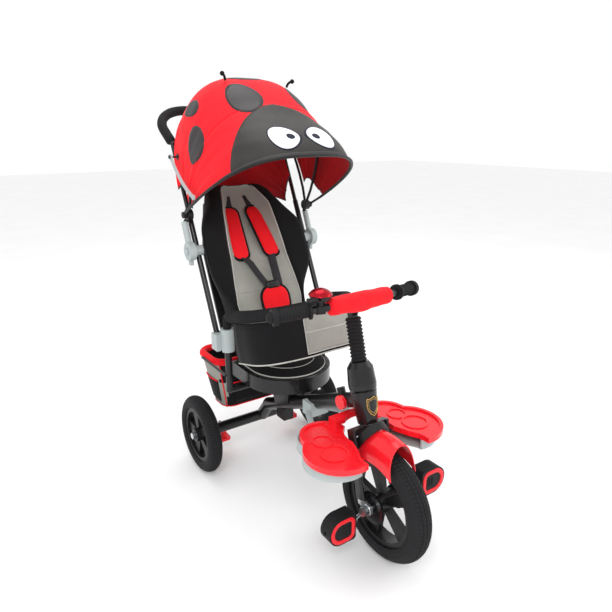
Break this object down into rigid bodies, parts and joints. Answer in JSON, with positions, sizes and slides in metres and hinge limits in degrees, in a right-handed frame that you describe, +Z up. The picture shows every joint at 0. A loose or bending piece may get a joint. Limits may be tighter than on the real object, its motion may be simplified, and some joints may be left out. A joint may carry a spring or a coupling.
{
  "type": "children's tricycle",
  "caption": "Children's tricycle with steerable pedal wheel, padded reclining seat, guard rail, footrest, folding canopy, rear basket and parent push handle.",
  "frame": {"origin": "on the floor below the centre of the bounding box", "axes": "+Z up, -Y towards the front wheel, +X to the seated child's left"},
  "size_m": [0.498, 1.0649, 1.1566],
  "materials": {
    "black_steel": "gloss",
    "zinc": "satin",
    "red_plastic": "gloss",
    "black_plastic": "satin",
    "grey_plastic": "satin",
    "tyre_rubber": "matte",
    "grip_rubber": "matte",
    "bell_metal": "gloss",
    "red_cloth": "matte",
    "black_cloth": "matte",
    "grey_cloth": "matte",
    "red_disc": "satin"
  },
  "bodies": {
    "frame": {"main_frame": "black_steel", "headset_bushes": "zinc", "head_cover": "black_plastic", "frame_caps": "red_plastic", "frame_plug": "black_plastic", "seat_pan": "black_plastic", "seat_cushion": "black_cloth", "recline_hinge": "black_steel", "side_posts": "black_steel", "tube_fittings": "grey_plastic", "push_tubes": "black_steel", "rear_axle": "zinc", "frame_fasteners": "zinc", "footrest_tray": "red_plastic", "footrest_shells": "grey_plastic", "footrest_mount": "grey_plastic", "basket_body": "black_cloth", "basket_rim": "red_cloth"},
    "steering": {"fork": "black_steel", "fork_dropouts": "zinc", "crank_bushes": "zinc", "front_fender": "red_plastic", "fender_strap": "black_plastic", "column_cover": "black_plastic", "bellows": "grip_rubber", "handlebar": "black_steel", "handlebar_pad": "red_cloth", "grips": "grip_rubber", "bell_base": "black_plastic", "bell_dome": "bell_metal"},
    "bell_thumb": {"bell_lever": "black_plastic"},
    "front_wheel": {"front_tyre": "tyre_rubber", "front_rim": "black_plastic", "clutch_disc": "red_disc"},
    "crank_set": {"crank": "zinc"},
    "pedal_r": {"pedal_right": "grip_rubber"},
    "pedal_l": {"pedal_left": "grip_rubber"},
    "rear_wheel_r": {"rear_tyre_right": "tyre_rubber", "rear_rim_right": "black_plastic"},
    "rear_wheel_l": {"rear_tyre_left": "tyre_rubber", "rear_rim_left": "black_plastic"},
    "brake_r": {"brake_lever_right": "red_plastic"},
    "brake_l": {"brake_lever_left": "red_plastic"},
    "backrest": {"backrest_board": "black_plastic", "backrest_pad": "black_cloth", "harness_pads": "red_cloth", "harness_straps": "black_cloth"},
    "guard": {"guard_tube": "black_steel", "guard_foam": "grip_rubber", "guard_apron": "black_cloth"},
    "handle": {"push_handle": "black_steel", "push_grip": "grip_rubber"},
    "canopy": {"canopy_arms": "grey_plastic", "canopy_bows": "black_plastic", "canopy_hood": "red_cloth", "canopy_flap": "red_cloth", "canopy_front_panel": "red_cloth"},
    "lever_r": {"canopy_stretcher_right": "grey_plastic"},
    "lever_l": {"canopy_stretcher_left": "grey_plastic"},
    "canopy_bow": {"front_bow": "black_plastic"}
  },
  "joints": [
    {"name": "steering_turn", "type": "hinge", "parent": "frame", "child": "steering", "pos_m": [0, -0.36445, 0.148], "axis": [0, 0.2588, 0.9659], "range_deg": [-30, 30]},
    {"name": "bell_press", "type": "hinge", "parent": "steering", "child": "bell_thumb", "pos_m": [-0.12632, -0.27528, 0.66153], "axis": [0, 0, 1], "range_deg": [0, 20], "stiffness_Nm_per_rad": 0.05},
    {"name": "front_wheel_spin", "type": "hinge", "parent": "steering", "child": "front_wheel", "pos_m": [0, -0.38445, 0.148], "axis": [1, 0, 0], "continuous": true},
    {"name": "crank_spin", "type": "hinge", "parent": "steering", "child": "crank_set", "pos_m": [0, -0.38445, 0.148], "axis": [1, 0, 0], "continuous": true},
    {"name": "pedal_right_spin", "type": "hinge", "parent": "crank_set", "child": "pedal_r", "pos_m": [-0.116, -0.35445, 0.106], "axis": [1, 0, 0], "continuous": true},
    {"name": "pedal_left_spin", "type": "hinge", "parent": "crank_set", "child": "pedal_l", "pos_m": [0.116, -0.41445, 0.19], "axis": [1, 0, 0], "continuous": true},
    {"name": "rear_right_spin", "type": "hinge", "parent": "frame", "child": "rear_wheel_r", "pos_m": [-0.218, 0.20855, 0.12], "axis": [1, 0, 0], "continuous": true},
    {"name": "rear_left_spin", "type": "hinge", "parent": "frame", "child": "rear_wheel_l", "pos_m": [0.218, 0.20855, 0.12], "axis": [1, 0, 0], "continuous": true},
    {"name": "brake_right_press", "type": "hinge", "parent": "frame", "child": "brake_r", "pos_m": [-0.13, 0.23555, 0.112], "axis": [1, 0, 0], "range_deg": [0, 25]},
    {"name": "brake_left_press", "type": "hinge", "parent": "frame", "child": "brake_l", "pos_m": [0.13, 0.23555, 0.112], "axis": [1, 0, 0], "range_deg": [0, 25]},
    {"name": "backrest_recline", "type": "hinge", "parent": "frame", "child": "backrest", "pos_m": [0, 0.18745, 0.38752], "axis": [1, 0, 0], "range_deg": [0, 10]},
    {"name": "guard_lift", "type": "slide", "parent": "frame", "child": "guard", "axis": [0, 0, 1], "range_m": [0, 0.04]},
    {"name": "handle_height", "type": "slide", "parent": "frame", "child": "handle", "axis": [0, 0.4179, 0.9085], "range_m": [0, 0.08]},
    {"name": "canopy_tilt", "type": "hinge", "parent": "frame", "child": "canopy", "pos_m": [0, 0.22848, 0.689], "axis": [1, 0, 0], "range_deg": [0, 12]},
    {"name": "lever_right_lift", "type": "hinge", "parent": "canopy", "child": "lever_r", "pos_m": [-0.223, 0.28355, 0.945], "axis": [-1, 0, 0], "range_deg": [0, 20]},
    {"name": "lever_left_lift", "type": "hinge", "parent": "canopy", "child": "lever_l", "pos_m": [0.223, 0.28355, 0.945], "axis": [-1, 0, 0], "range_deg": [0, 20]},
    {"name": "canopy_fold", "type": "hinge", "parent": "canopy", "child": "canopy_bow", "pos_m": [0, 0.24355, 0.79], "axis": [-1, 0, 0], "range_deg": [0, 28], "deforming": ["canopy_front_panel"]}
  ],
  "couplings": [
    {"joint": "crank_spin", "follows": "front_wheel_spin", "ratio": 1}
  ]
}
